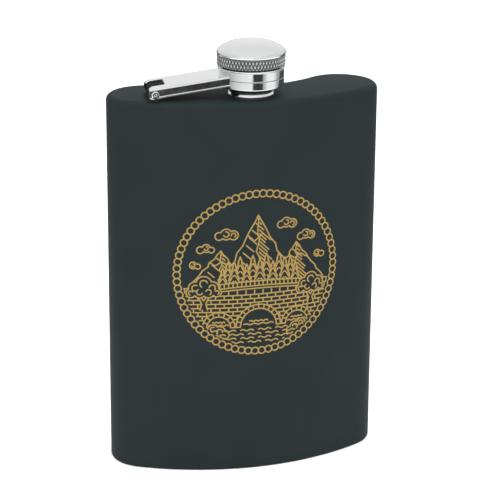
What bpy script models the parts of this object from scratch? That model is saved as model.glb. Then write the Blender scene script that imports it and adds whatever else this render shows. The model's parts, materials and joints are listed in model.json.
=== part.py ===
"""Curved hip flask with a captive screw cap.

The flask stands upright on the XY plane: X runs along its width, its convex front faces -Y, and the origin
is under the middle of its bounding box. Each named object is one physical piece, closed and in metres.
Two empties carry the pieces that move: arm_pivot sits on the hinge pin and swings the arm with its collar,
and cap_pivot sits on the cap's axis and turns the cap in that collar.
"""

import math

import bmesh
import bpy
from mathutils import Matrix, Vector

# Space left between two pieces that touch, or that run on each other.
GAP = 0.0003

# Body. The cross-section is four tangent arcs: front, back and two round ends.
BODY_WIDTH = 0.095
BODY_HEIGHT = 0.132
BODY_THICKNESS = 0.024
FRONT_RADIUS = 0.085
END_RADIUS = 0.013
WALL = 0.0007
SHOULDER_FILLET = 0.0022
BASE_FILLET = 0.001
SKIRT = 0.0035
FRONT_STEPS = 28
BACK_STEPS = 18
END_STEPS = 12
FILLET_STEPS = 4

# Neck, measured up from the top of the shoulder.
NECK_BORE = 0.0056
NECK_RADIUS = 0.0072
NECK_TOP = 0.0104
NECK_DEPTH = 0.003
NECK_LEAD_IN = 0.0006
FLANGE_RADIUS = 0.0074
FLANGE_HEIGHT = 0.0013

# Cap and the collar that holds it captive, measured up from the top of the shoulder.
CAP_RADIUS = 0.0116
CAP_BOTTOM = 0.01035
CAP_RIM = 0.0162
CAP_DOME = 0.0026
CAP_DOME_POWER = 2.8
CAP_TOP_WALL = 0.0014
CAP_EDGE_RADIUS = 0.0018
CAP_EDGE_TURN = math.radians(56)
COLLAR_RADIUS = 0.0112
COLLAR_BOTTOM = 0.0034
COLLAR_SPLIT = 0.0064
COLLAR_TOP = 0.0094
COLLAR_EDGE = 0.0003
WASHER_THICKNESS = 0.00035
SLEEVE_RADIUS = 0.00945
SLEEVE_WALL = 0.00055
SLEEVE_RIM = 0.00045
SLEEVE_RIM_HEIGHT = 0.0006
INSERT_WALL = 0.0009
INSERT_TOP_WALL = 0.0022
GASKET_THICKNESS = 0.0013
GASKET_RADIUS = 0.0074
ROUND_STEPS = 48

# Hinge and arm. The pin lies across the shoulder, its middle set back from the plate's front edge.
PIN_X = -0.033
PIN_SET_BACK = 0.0087
PIN_HEIGHT = 0.0025
PIN_RADIUS = 0.0008
ARM_WIDTH = 0.0150
ARM_SHEET = 0.0008
ARM_DEPTH = 0.0031
ARM_SLOPE = math.radians(7.6)
EAR_RADIUS = 0.0022
EAR_STEPS = 12
EAR_BLEND = 0.003
NOTCH_LENGTH = 0.004
NOTCH_WIDTH = 0.0076
LUG_WIDTH = 0.007
LUG_RADIUS = 0.0018
LUG_FOOT_LENGTH = 0.0052
LUG_FOOT_HEIGHT = 0.0006

# Centres of the section's arcs, before it is moved to put the origin under the middle of its depth.
HALF_THICKNESS = BODY_THICKNESS / 2
FRONT_CENTRE = FRONT_RADIUS - HALF_THICKNESS
END_X = BODY_WIDTH / 2 - END_RADIUS
END_Y = FRONT_CENTRE - math.sqrt((FRONT_RADIUS - END_RADIUS) ** 2 - END_X**2)
END_SET_BACK = HALF_THICKNESS - END_Y
BACK_RADIUS = (END_X**2 + END_SET_BACK**2 - END_RADIUS**2) / (2 * (END_RADIUS - END_SET_BACK))
BACK_CENTRE = BACK_RADIUS + HALF_THICKNESS
SECTION_SHIFT = (HALF_THICKNESS - END_Y - END_RADIUS) / 2

# Places that follow from the driving dimensions.
NECK_AXIS = Vector((0, SECTION_SHIFT, BODY_HEIGHT))
PIN_FRONT = FRONT_CENTRE - math.sqrt(FRONT_RADIUS**2 - PIN_X**2)
PIN_PLACE = Vector((PIN_X, SECTION_SHIFT + PIN_FRONT + PIN_SET_BACK, BODY_HEIGHT + PIN_HEIGHT))
ARM_HEADING = math.atan2(NECK_AXIS.y - PIN_PLACE.y, NECK_AXIS.x - PIN_PLACE.x)
ARM_REACH = (NECK_AXIS - PIN_PLACE).to_2d().length
SLEEVE_BORE = SLEEVE_RADIUS - SLEEVE_WALL
COLLAR_BORE = SLEEVE_RADIUS + GAP
INSERT_RADIUS = SLEEVE_BORE - GAP
INSERT_BORE = INSERT_RADIUS - INSERT_WALL
GASKET_BOTTOM = NECK_TOP + GAP
INSERT_CEILING = GASKET_BOTTOM + GASKET_THICKNESS + GAP
INSERT_TOP = INSERT_CEILING + INSERT_TOP_WALL
CAP_CEILING = CAP_RIM - CAP_TOP_WALL


def clear_scene():
    for obj in list(bpy.data.objects):
        bpy.data.objects.remove(obj)


def material(name, colour, roughness, metallic):
    made = bpy.data.materials.new(name)
    made.use_nodes = True
    shader = made.node_tree.nodes["Principled BSDF"]
    shader.inputs["Base Color"].default_value = (*colour, 1)
    shader.inputs["Roughness"].default_value = roughness
    shader.inputs["Metallic"].default_value = metallic
    return made


def add_object(name, bm, surface, parent=None, place=(0, 0, 0)):
    """Makes an object of the mesh, whose points are relative to the parent moved by place."""
    bmesh.ops.recalc_face_normals(bm, faces=bm.faces)
    mesh = bpy.data.meshes.new(name)
    bm.to_mesh(mesh)
    bm.free()
    mesh.shade_smooth()
    mesh.set_sharp_from_angle(angle=math.radians(35))
    mesh.materials.append(surface)
    obj = bpy.data.objects.new(name, mesh)
    bpy.context.collection.objects.link(obj)
    obj.parent = parent
    obj.location = place
    return obj


def add_pivot(name, place, turn=0.0, parent=None):
    pivot = bpy.data.objects.new(name, None)
    pivot.empty_display_size = 0.01
    pivot.location = place
    pivot.rotation_euler.z = turn
    pivot.parent = parent
    bpy.context.collection.objects.link(pivot)
    return pivot


def cut(obj, cutter):
    """Takes the cutter out of the object and hides it."""
    cutter.hide_render = True
    cutter.display_type = "WIRE"
    boolean = obj.modifiers.new(cutter.name, "BOOLEAN")
    boolean.operation = "DIFFERENCE"
    boolean.object = cutter


def arc(centre, radius, start, end, steps):
    """Points along an arc, from angle start up to, and without, angle end."""
    angles = [start + (end - start) * i / steps for i in range(steps)]
    return [(centre[0] + radius * math.cos(a), centre[1] + radius * math.sin(a)) for a in angles]


def section(inset):
    """The body's outline, anticlockwise from the front's left end, drawn in by inset."""
    front = math.atan2(END_X, FRONT_CENTRE - END_Y)
    back = math.atan2(END_X, BACK_CENTRE - END_Y)
    down = -math.pi / 2
    end = END_RADIUS - inset
    points = arc((0, FRONT_CENTRE), FRONT_RADIUS - inset, down - front, down + front, FRONT_STEPS)
    points += arc((END_X, END_Y), end, down + front, math.pi / 2 + back, END_STEPS)
    points += arc((0, BACK_CENTRE), BACK_RADIUS + inset, down + back, down - back, BACK_STEPS)
    points += arc((-END_X, END_Y), end, math.pi / 2 - back, 3 * math.pi / 2 - front, END_STEPS)
    return [(x, y + SECTION_SHIFT) for x, y in points]


def skin(bm, rings, joined):
    """Bridges each ring of points to the next, and closes the two ends, or joins the last to the first."""
    loops = [[bm.verts.new(point) for point in ring] for ring in rings]
    pairs = list(zip(loops, loops[1:]))
    if joined:
        pairs.append((loops[-1], loops[0]))
    else:
        bm.faces.new(loops[0])
        bm.faces.new(loops[-1])
    for low, high in pairs:
        for i in range(len(low)):
            j = (i + 1) % len(low)
            bm.faces.new((low[i], low[j], high[j], high[i]))


def section_solid(levels, joined):
    """A solid whose outline at each level is the body's section: levels are (inset, height) pairs."""
    bm = bmesh.new()
    skin(bm, [[(x, y, z) for x, y in section(inset)] for inset, z in levels], joined)
    return bm


def turned(profile):
    """A solid turned about Z from a closed profile of (radius, height); radius 0 is a point on the axis."""
    bm = bmesh.new()
    rings = []
    for radius, z in profile:
        if radius == 0:
            rings.append([bm.verts.new((0, 0, z))] * ROUND_STEPS)
            continue
        angles = [2 * math.pi * i / ROUND_STEPS for i in range(ROUND_STEPS)]
        rings.append([bm.verts.new((radius * math.cos(a), radius * math.sin(a), z)) for a in angles])
    for near, far in zip(rings, rings[1:] + rings[:1]):
        for i in range(ROUND_STEPS):
            j = (i + 1) % ROUND_STEPS
            corners = list(dict.fromkeys((near[i], near[j], far[j], far[i])))
            if len(corners) > 2:
                bm.faces.new(corners)
    return bm


def prism(outline, width):
    """A solid of the outline in the XZ plane, from -width/2 to +width/2 along Y."""
    bm = bmesh.new()
    skin(bm, [[(x, y, z) for x, z in outline] for y in (-width / 2, width / 2)], joined=False)
    return bm


def box(low, high):
    outline = [(low[0], low[2]), (high[0], low[2]), (high[0], high[2]), (low[0], high[2])]
    bm = prism(outline, high[1] - low[1])
    bmesh.ops.translate(bm, verts=bm.verts, vec=(0, (low[1] + high[1]) / 2, 0))
    return bm


def cross_pin(radius, length):
    """A cylinder along Y, centred on the origin."""
    half = length / 2
    bm = turned([(0, -half), (radius, -half), (radius, half), (0, half)])
    bmesh.ops.rotate(bm, verts=bm.verts, matrix=Matrix.Rotation(math.pi / 2, 3, "X"))
    return bm


def body_levels(fillet, edge, inner):
    """Levels of a pressed end plate, from the inside of its panel, round its skirt, to the outside.

    edge is the height of the outside face, inner the direction to the inside of the body, +1 or -1.
    """
    levels = []
    corners = [math.pi / 2 * i / FILLET_STEPS for i in range(FILLET_STEPS + 1)]
    middle = edge + inner * fillet
    skirt_end = edge + inner * SKIRT
    for a in reversed(corners):
        reach = fillet - WALL
        levels.append((fillet - reach * math.cos(a), middle - inner * reach * math.sin(a)))
    levels += [(WALL, skirt_end), (0, skirt_end)]
    for a in corners:
        levels.append((fillet - fillet * math.cos(a), middle - inner * fillet * math.sin(a)))
    return levels


def add_body(paint):
    """The wrapped shell and its two pressed end plates."""
    low = SKIRT + GAP
    high = BODY_HEIGHT - SKIRT - GAP
    levels = [(0, low), (0, high), (WALL, high), (WALL, low)]
    add_object("body_shell", section_solid(levels, joined=True), paint)

    add_object("base_plate", section_solid(body_levels(BASE_FILLET, 0, 1), joined=False), paint)

    levels = body_levels(SHOULDER_FILLET, BODY_HEIGHT, -1)
    shoulder = add_object("shoulder_plate", section_solid(levels, joined=False), paint)
    reach = 2 * NECK_DEPTH
    profile = [(0, -reach), (NECK_RADIUS + GAP, -reach), (NECK_RADIUS + GAP, reach), (0, reach)]
    cut(shoulder, add_object("neck_hole", turned(profile), paint, place=NECK_AXIS))


def add_neck(steel, dark_steel):
    """The spout that the cap screws on, and the flange ring that seats it on the shoulder."""
    rim = NECK_RADIUS - NECK_LEAD_IN
    profile = [
        (NECK_BORE, -NECK_DEPTH),
        (NECK_RADIUS, -NECK_DEPTH),
        (NECK_RADIUS, NECK_TOP - 3 * NECK_LEAD_IN),
        (rim, NECK_TOP),
        (NECK_BORE, NECK_TOP),
    ]
    add_object("neck_spout", turned(profile), dark_steel, place=NECK_AXIS)

    bore = NECK_RADIUS + GAP
    top = GAP + FLANGE_HEIGHT
    round_off = FLANGE_HEIGHT / 3
    profile = [
        (bore, GAP),
        (FLANGE_RADIUS + round_off, GAP),
        (FLANGE_RADIUS + round_off, top - round_off),
        (FLANGE_RADIUS, top),
        (bore, top),
    ]
    add_object("neck_flange", turned(profile), steel, place=NECK_AXIS)


def ear_outline(radius):
    """The arm seen from the side, with the pin at the origin and the round nose of that radius."""
    start = -math.acos(1 / 3)
    nose = arc((0, 0), radius, math.pi / 2, 2 * math.pi + start, EAR_STEPS)
    flange = radius - ARM_DEPTH
    return nose + [(EAR_BLEND, flange), (ARM_REACH, flange), (ARM_REACH, radius)]


def add_arm(pivot, steel):
    """The pressed channel that carries the collar, open underneath and notched for the hinge lug."""
    arm = add_object("captive_arm", prism(ear_outline(EAR_RADIUS), ARM_WIDTH), steel, pivot)
    arm.rotation_euler.y = -ARM_SLOPE

    inside = EAR_RADIUS - ARM_SHEET
    half = ARM_WIDTH / 2 - ARM_SHEET
    hollow = box((-2 * EAR_RADIUS, -half, -2 * EAR_RADIUS), (2 * ARM_REACH, half, inside))
    cut_hollow = add_object("arm_hollow", hollow, steel, pivot)
    cut_hollow.rotation_euler.y = -ARM_SLOPE
    cut(arm, cut_hollow)

    half = NOTCH_WIDTH / 2
    notch = box((-2 * EAR_RADIUS, -half, -EAR_RADIUS), (NOTCH_LENGTH, half, 2 * EAR_RADIUS))
    cut_notch = add_object("arm_notch", notch, steel, pivot)
    cut_notch.rotation_euler.y = -ARM_SLOPE
    cut(arm, cut_notch)

    cut(arm, add_object("ear_holes", cross_pin(PIN_RADIUS + GAP, 2 * ARM_WIDTH), steel, pivot))

    reach = COLLAR_RADIUS + GAP
    profile = [(0, -CAP_RIM), (reach, -CAP_RIM), (reach, CAP_RIM), (0, CAP_RIM)]
    cut(arm, add_object("collar_space", turned(profile), steel, pivot, (ARM_REACH, 0, 0)))


def add_hinge(pivot, steel, dark_steel):
    """The lug that is welded to the shoulder, and the pin that the arm swings on."""
    foot = LUG_FOOT_LENGTH / 2
    low = GAP - PIN_HEIGHT
    dome = arc((0, 0), LUG_RADIUS, math.pi, 0, EAR_STEPS)
    outline = dome + [
        (LUG_RADIUS, 0),
        (LUG_RADIUS, low + LUG_FOOT_HEIGHT),
        (foot, low + LUG_FOOT_HEIGHT),
        (foot, low),
        (-foot, low),
        (-foot, low + LUG_FOOT_HEIGHT),
        (-LUG_RADIUS, low + LUG_FOOT_HEIGHT),
    ]
    lug = add_object("hinge_bracket", prism(outline, LUG_WIDTH), dark_steel, place=PIN_PLACE)
    lug.rotation_euler.z = ARM_HEADING
    bore = add_object("lug_bore", cross_pin(PIN_RADIUS + GAP, 2 * LUG_WIDTH), steel, place=PIN_PLACE)
    bore.rotation_euler.z = ARM_HEADING
    cut(lug, bore)

    add_object("hinge_pin", cross_pin(PIN_RADIUS, ARM_WIDTH), steel, pivot)


def add_collar(pivot, steel):
    """Two rings and a washer on the arm: they trap the rim of the cap's sleeve and let it turn."""
    place = (ARM_REACH, 0, -PIN_HEIGHT)
    edge = COLLAR_EDGE
    groove = SLEEVE_RADIUS + SLEEVE_RIM + GAP
    split_low = COLLAR_SPLIT - GAP / 2
    split_high = COLLAR_SPLIT + GAP / 2
    room = SLEEVE_RIM_HEIGHT / 2 + GAP
    lower = [
        (COLLAR_BORE, COLLAR_BOTTOM),
        (COLLAR_RADIUS - edge, COLLAR_BOTTOM),
        (COLLAR_RADIUS, COLLAR_BOTTOM + edge),
        (COLLAR_RADIUS, split_low - edge),
        (COLLAR_RADIUS - edge, split_low),
        (groove, split_low),
        (groove, COLLAR_SPLIT - room),
        (COLLAR_BORE, COLLAR_SPLIT - room),
    ]
    add_object("collar_lower_ring", turned(lower), steel, pivot, place)

    upper = [
        (COLLAR_BORE, COLLAR_SPLIT + room),
        (groove, COLLAR_SPLIT + room),
        (groove, split_high),
        (COLLAR_RADIUS - edge, split_high),
        (COLLAR_RADIUS, split_high + edge),
        (COLLAR_RADIUS, COLLAR_TOP - edge),
        (COLLAR_RADIUS - edge, COLLAR_TOP),
        (COLLAR_BORE, COLLAR_TOP),
    ]
    add_object("collar_upper_ring", turned(upper), steel, pivot, place)

    low = COLLAR_TOP + GAP
    high = low + WASHER_THICKNESS
    outer = COLLAR_RADIUS + edge
    washer = [(COLLAR_BORE, low), (outer, low), (outer, high), (COLLAR_BORE, high)]
    add_object("swivel_washer", turned(washer), steel, pivot, place)


def add_cap(pivot, steel, dark_steel, plastic, rubber):
    """The gripped cap with its sleeve, its threaded insert and the gasket that meets the neck."""
    inside = SLEEVE_RADIUS + GAP
    edge = CAP_EDGE_RADIUS
    corner = arc((CAP_RADIUS - edge, CAP_RIM - edge), edge, 0, CAP_EDGE_TURN, FILLET_STEPS)
    flat = CAP_RADIUS - edge + edge * math.cos(CAP_EDGE_TURN)
    crown = CAP_RIM - edge + edge * math.sin(CAP_EDGE_TURN)
    shell = [
        (0, CAP_CEILING),
        (inside, CAP_CEILING),
        (inside, CAP_BOTTOM),
        (CAP_RADIUS - COLLAR_EDGE, CAP_BOTTOM),
        (CAP_RADIUS, CAP_BOTTOM + COLLAR_EDGE),
    ]
    shell += corner
    for step in range(FILLET_STEPS):
        across = 1 - step / FILLET_STEPS
        shell.append((flat * across, crown + CAP_DOME * (1 - across**CAP_DOME_POWER)))
    shell.append((0, crown + CAP_DOME))
    add_object("cap_shell", turned(shell), steel, pivot)

    rim = SLEEVE_RADIUS + SLEEVE_RIM
    half = SLEEVE_RIM_HEIGHT / 2
    sleeve = [
        (SLEEVE_BORE, COLLAR_BOTTOM + GAP),
        (SLEEVE_RADIUS, COLLAR_BOTTOM + GAP),
        (SLEEVE_RADIUS, COLLAR_SPLIT - half),
        (rim, COLLAR_SPLIT - half),
        (rim, COLLAR_SPLIT + half),
        (SLEEVE_RADIUS, COLLAR_SPLIT + half),
        (SLEEVE_RADIUS, CAP_CEILING - GAP),
        (SLEEVE_BORE, CAP_CEILING - GAP),
    ]
    add_object("cap_sleeve", turned(sleeve), dark_steel, pivot)

    insert = [
        (0, INSERT_CEILING),
        (INSERT_BORE, INSERT_CEILING),
        (INSERT_BORE, COLLAR_BOTTOM + GAP),
        (INSERT_RADIUS, COLLAR_BOTTOM + GAP),
        (INSERT_RADIUS, INSERT_TOP),
        (0, INSERT_TOP),
    ]
    add_object("thread_insert", turned(insert), plastic, pivot)

    top = GASKET_BOTTOM + GASKET_THICKNESS
    gasket = [(0, GASKET_BOTTOM), (GASKET_RADIUS, GASKET_BOTTOM), (GASKET_RADIUS, top), (0, top)]
    add_object("seal_gasket", turned(gasket), rubber, pivot)


def main():
    clear_scene()
    paint = material("black_coat", (0.033, 0.04, 0.042), 0.55, 0.0)
    steel = material("polished_steel", (0.78, 0.79, 0.79), 0.12, 1.0)
    dark_steel = material("dark_steel", (0.12, 0.125, 0.125), 0.4, 1.0)
    plastic = material("black_plastic", (0.02, 0.02, 0.02), 0.4, 0.0)
    rubber = material("clear_silicone", (0.75, 0.75, 0.72), 0.5, 0.0)

    arm_pivot = add_pivot("arm_pivot", PIN_PLACE, ARM_HEADING)
    cap_pivot = add_pivot("cap_pivot", (ARM_REACH, 0, -PIN_HEIGHT), parent=arm_pivot)
    add_body(paint)
    add_neck(steel, dark_steel)
    add_hinge(arm_pivot, steel, dark_steel)
    add_arm(arm_pivot, steel)
    add_collar(arm_pivot, steel)
    add_cap(cap_pivot, steel, dark_steel, plastic, rubber)


main()
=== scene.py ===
"""The hip flask's looks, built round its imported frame, in metres and in the frame's own place.

Each piece is the detailed form of one CAD node and rides on that node's body; the print is an extra.
"""

import json
import math

import bmesh
import bpy
from mathutils import Matrix, Vector


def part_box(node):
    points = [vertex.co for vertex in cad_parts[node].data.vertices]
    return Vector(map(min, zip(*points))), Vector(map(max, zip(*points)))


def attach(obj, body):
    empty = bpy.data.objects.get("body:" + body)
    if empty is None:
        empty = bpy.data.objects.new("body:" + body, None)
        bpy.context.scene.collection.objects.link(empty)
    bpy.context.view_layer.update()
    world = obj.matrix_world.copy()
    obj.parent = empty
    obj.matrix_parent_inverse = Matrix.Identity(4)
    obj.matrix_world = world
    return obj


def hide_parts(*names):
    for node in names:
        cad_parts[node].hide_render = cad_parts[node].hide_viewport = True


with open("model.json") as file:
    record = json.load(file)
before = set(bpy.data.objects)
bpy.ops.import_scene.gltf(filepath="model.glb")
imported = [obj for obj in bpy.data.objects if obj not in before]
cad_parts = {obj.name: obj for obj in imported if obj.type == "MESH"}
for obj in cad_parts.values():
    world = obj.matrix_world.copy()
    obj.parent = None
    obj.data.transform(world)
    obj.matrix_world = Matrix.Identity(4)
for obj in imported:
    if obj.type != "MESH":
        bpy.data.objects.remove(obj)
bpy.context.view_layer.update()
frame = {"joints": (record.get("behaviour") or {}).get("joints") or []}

# ---------------------------------------------------------------- places and sizes, in metres

JOINTS = {joint["name"]: joint for joint in frame["joints"]}
PIN_PLACE = Vector(JOINTS["arm_hinge"]["pos_m"])
CAP_PLACE = Vector(JOINTS["cap_spin"]["pos_m"])
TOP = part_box("shoulder_plate")[1].z
HALF_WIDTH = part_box("shoulder_plate")[1].x
NECK_AXIS = Vector((CAP_PLACE.x, CAP_PLACE.y, TOP))
ARM_REACH = (NECK_AXIS - PIN_PLACE).to_2d().length
ARM_HEADING = math.atan2(NECK_AXIS.y - PIN_PLACE.y, NECK_AXIS.x - PIN_PLACE.x)
PIN_HEIGHT = PIN_PLACE.z - TOP

# The body's section: four tangent arcs, as in the CAD.
HALF_THICKNESS = 0.012
FRONT_RADIUS = 0.085
END_RADIUS = 0.013
FRONT_CENTRE = FRONT_RADIUS - HALF_THICKNESS
END_X = HALF_WIDTH - END_RADIUS
END_Y = FRONT_CENTRE - math.sqrt((FRONT_RADIUS - END_RADIUS) ** 2 - END_X**2)
END_SET_BACK = HALF_THICKNESS - END_Y
BACK_RADIUS = (END_X**2 + END_SET_BACK**2 - END_RADIUS**2) / (2 * (END_RADIUS - END_SET_BACK))
BACK_CENTRE = BACK_RADIUS + HALF_THICKNESS
SECTION_SHIFT = NECK_AXIS.y
WALL = 0.0007
SKIRT = 0.0035
SHOULDER_FILLET = 0.0022
BASE_FILLET = 0.001
BASE_RIM = 0.0045
BASE_STEP = 0.0003

# Neck and cap, as heights over the shoulder and radii.
NECK_BORE = 0.0056
NECK_RADIUS = 0.0072
NECK_TOP = 0.0104
NECK_ROOT = -0.003
THREAD_LOW = 0.002
THREAD_HIGH = 0.0093
FLANGE_FOOT_RADIUS = 0.0079
FLANGE_TOP_RADIUS = 0.0075
FLANGE_HEIGHT = 0.0015
CAP_RADIUS = 0.0116
CAP_BOTTOM = 0.01035
CAP_RIM = 0.0162
CAP_DOME = 0.0026
CAP_DOME_POWER = 2.8
CAP_EDGE = 0.0018
CAP_EDGE_TURN = math.radians(56)
CAP_CEILING = 0.0148
SLEEVE_RADIUS = 0.00945
SLEEVE_BORE = 0.0089
SLEEVE_RIM = 0.00045
INSERT_RADIUS = 0.0086
INSERT_BORE = 0.0077
INSERT_CEILING = 0.0123
INSERT_TOP = 0.0145
GASKET_RADIUS = 0.0074
GASKET_LOW = 0.0107
GASKET_HIGH = 0.012
COLLAR_RADIUS = 0.0111
COLLAR_BORE = 0.00975
COLLAR_BOTTOM = 0.0034
COLLAR_SPLIT = 0.0064
COLLAR_TOP = 0.0094
RUNNING_GAP = 0.0003

# Hinge and arm.
PIN_RADIUS = 0.0008
RIVET_RADIUS = 0.00125
RIVET_PROUD = 0.0004
LUG_RADIUS = 0.0018
LUG_FOOT = 0.0026
LUG_HALF_LENGTH = 0.0035
ARM_WIDTH = 0.015
ARM_SHEET = 0.0008
ARM_DEPTH = 0.0034
ARM_SLOPE = math.radians(7.6)
EAR_RADIUS = 0.0022
EAR_BLEND = 0.003
NOTCH_LENGTH = 0.004
NOTCH_WIDTH = 0.0076

# Knurl: two families of grooves that cross in diamonds.
KNURL_TEETH = 60
KNURL_PITCH = 0.0026
KNURL_DEPTH = 0.00038
KNURL_LOW = 0.01045
KNURL_HIGH = 0.01395

# Threads of the neck and of the insert.
THREAD_PITCH = 0.0016
THREAD_DEPTH = 0.00045
INSERT_THREAD = 0.00035

# Printed medallion on the front: lengths in millimetres until they are laid on the body.
MEDALLION_HEIGHT = 0.0723
MEDALLION_RING = 28.2
MEDALLION_BEADS = 74
MEDALLION_BEAD = 1.22
MEDALLION_ART = 26.3
INK_WIDTH = 0.46
INK_STEP = 0.22
INK_HEIGHT = 0.00004
INK_SUNK = 0.00002
MM = 0.001


# ---------------------------------------------------------------- shapes: (points, faces) pairs


def arc(centre, radius, start, end, steps):
    """Points along an arc, from angle start up to, and without, angle end."""
    angles = [start + (end - start) * i / steps for i in range(steps)]
    return [(centre[0] + radius * math.cos(a), centre[1] + radius * math.sin(a)) for a in angles]


def rounded(corners, steps=5):
    """The closed outline through (x, y, radius) corners, each rounded by its radius."""
    outline = []
    for i, (x, y, radius) in enumerate(corners):
        here = Vector((x, y))
        if radius == 0:
            outline.append((x, y))
            continue
        back = (Vector(corners[i - 1][:2]) - here).normalized()
        ahead = (Vector(corners[(i + 1) % len(corners)][:2]) - here).normalized()
        half = back.angle(ahead) / 2
        centre = here + (back + ahead).normalized() * radius / math.sin(half)
        first = (here + back * radius / math.tan(half) - centre).normalized()
        last = (here + ahead * radius / math.tan(half) - centre).normalized()
        for step in range(steps + 1):
            across = first.slerp(last, step / steps) * radius
            outline.append((centre.x + across.x, centre.y + across.y))
    return outline


def skinned(rings, joined):
    """Bridges rings of as many points each; closes the two ends, or joins the last ring to the first."""
    count = len(rings[0])
    points = [point for ring in rings for point in ring]
    faces = []
    for low in range(len(rings) if joined else len(rings) - 1):
        high = (low + 1) % len(rings)
        for i in range(count):
            j = (i + 1) % count
            faces.append((low * count + i, low * count + j, high * count + j, high * count + i))
    if not joined:
        faces.append(tuple(range(count)))
        faces.append(tuple(range(len(points) - count, len(points))))
    return points, faces


def held(outline, reach=0.00005):
    """The closed outline with a point near each end of its long sides, so smoothing leaves them flat."""
    result = []
    for i, point in enumerate(outline):
        here = Vector(point)
        ahead = Vector(outline[(i + 1) % len(outline)])
        result.append(point)
        if (ahead - here).length > 5 * reach:
            step = (ahead - here).normalized() * reach
            result += [tuple(here + step), tuple(ahead - step)]
    return result


def turned(profile, steps=96, wave=None):
    """A closed profile of (radius, height) turned about Z. wave(angle, radius, z) gives a changed radius."""
    points = []
    rings = []
    for radius, z in profile:
        if radius == 0:
            rings.append([len(points)] * steps)
            points.append((0, 0, z))
            continue
        rings.append(range(len(points), len(points) + steps))
        for i in range(steps):
            angle = 2 * math.pi * i / steps
            r = wave(angle, radius, z) if wave else radius
            points.append((r * math.cos(angle), r * math.sin(angle), z))
    faces = []
    for near, far in zip(rings, rings[1:] + rings[:1]):
        for i in range(steps):
            j = (i + 1) % steps
            corners = tuple(dict.fromkeys((near[i], near[j], far[j], far[i])))
            if len(corners) > 2:
                faces.append(corners)
    return points, faces


def prism(outline, low, high, axis):
    """A solid of the outline from low to high along the axis; the outline is in the other two, in order."""
    place = {
        "X": lambda a, b, depth: (depth, a, b),
        "Y": lambda a, b, depth: (a, depth, b),
        "Z": lambda a, b, depth: (a, b, depth),
    }[axis]
    return skinned([[place(a, b, depth) for a, b in outline] for depth in (low, high)], joined=False)


def moved(shape, matrix):
    """The shape with the matrix applied to its points."""
    return [tuple(matrix @ Vector(point)) for point in shape[0]], shape[1]


def joined_shapes(shapes):
    """All the shapes as one."""
    points = []
    faces = []
    for more_points, more_faces in shapes:
        start = len(points)
        points += more_points
        faces += [tuple(start + i for i in face) for face in more_faces]
    return points, faces


def mesh_of(name, shape):
    """A mesh of the shape with its faces turned outwards."""
    mesh = bpy.data.meshes.new(name)
    mesh.from_pydata(shape[0], [], shape[1])
    bm = bmesh.new()
    bm.from_mesh(mesh)
    bmesh.ops.recalc_face_normals(bm, faces=bm.faces)
    bm.to_mesh(mesh)
    bm.free()
    return mesh


def combined(shape, steps):
    """The shape after each (operation, other shape) Boolean of steps."""
    helpers = []
    for i, part in enumerate([shape] + [other for _, other in steps]):
        helper = bpy.data.objects.new("helper_%d" % i, mesh_of("helper_%d" % i, part))
        bpy.context.scene.collection.objects.link(helper)
        helpers.append(helper)
    for (operation, _), helper in zip(steps, helpers[1:]):
        boolean = helpers[0].modifiers.new(helper.name, "BOOLEAN")
        boolean.operation = operation
        boolean.solver = "EXACT"
        boolean.object = helper
    bpy.context.view_layer.update()
    result = helpers[0].evaluated_get(bpy.context.evaluated_depsgraph_get()).to_mesh()
    points = [tuple(vertex.co) for vertex in result.vertices]
    faces = [tuple(polygon.vertices) for polygon in result.polygons]
    for helper in helpers:
        mesh = helper.data
        bpy.data.objects.remove(helper)
        bpy.data.meshes.remove(mesh)
    return points, faces


def add_piece(name, shape, material, body, place=None, sharp=35, node=None):
    """Makes the piece on its body, standing in for the CAD node, where one is given."""
    mesh = mesh_of(name, moved(shape, place) if place else shape)
    mesh.shade_smooth()
    mesh.set_sharp_from_angle(angle=math.radians(sharp))
    mesh.materials.append(material)
    piece = bpy.data.objects.new(name, mesh)
    bpy.context.scene.collection.objects.link(piece)
    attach(piece, body)
    if node:
        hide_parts(node)
    return piece


# ---------------------------------------------------------------- materials


def new_material(name, colour, roughness, metallic=0.0):
    material = bpy.data.materials.new(name)
    material.use_nodes = True
    shader = material.node_tree.nodes["Principled BSDF"]
    shader.inputs["Base Color"].default_value = (*colour, 1)
    shader.inputs["Roughness"].default_value = roughness
    shader.inputs["Metallic"].default_value = metallic
    return material, material.node_tree, shader


def noise(tree, scale, detail=3.0, stretch=(1, 1, 1), roughness=0.55):
    """A noise over the piece's own coordinates; scale is in features a metre."""
    place = tree.nodes.new("ShaderNodeTexCoord")
    mapping = tree.nodes.new("ShaderNodeMapping")
    mapping.inputs["Scale"].default_value = stretch
    texture = tree.nodes.new("ShaderNodeTexNoise")
    texture.inputs["Scale"].default_value = scale
    texture.inputs["Detail"].default_value = detail
    texture.inputs["Roughness"].default_value = roughness
    tree.links.new(place.outputs["Object"], mapping.inputs["Vector"])
    tree.links.new(mapping.outputs["Vector"], texture.inputs["Vector"])
    return texture.outputs["Fac"]


def spread(tree, value, low, high, out_low, out_high):
    """The value, carried from the range low..high to out_low..out_high."""
    node = tree.nodes.new("ShaderNodeMapRange")
    node.inputs["From Min"].default_value = low
    node.inputs["From Max"].default_value = high
    node.inputs["To Min"].default_value = out_low
    node.inputs["To Max"].default_value = out_high
    tree.links.new(value, node.inputs["Value"])
    return node.outputs["Result"]


def mix_node(tree, value):
    """A mix of two colours by the value."""
    node = tree.nodes.new("ShaderNodeMix")
    node.data_type = "RGBA"
    tree.links.new(value, node.inputs["Factor"])
    return node


def blended(tree, value, first, second):
    """A colour between first and second, by the value."""
    node = mix_node(tree, value)
    node.inputs["A"].default_value = (*first, 1)
    node.inputs["B"].default_value = (*second, 1)
    return node.outputs["Result"]


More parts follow.
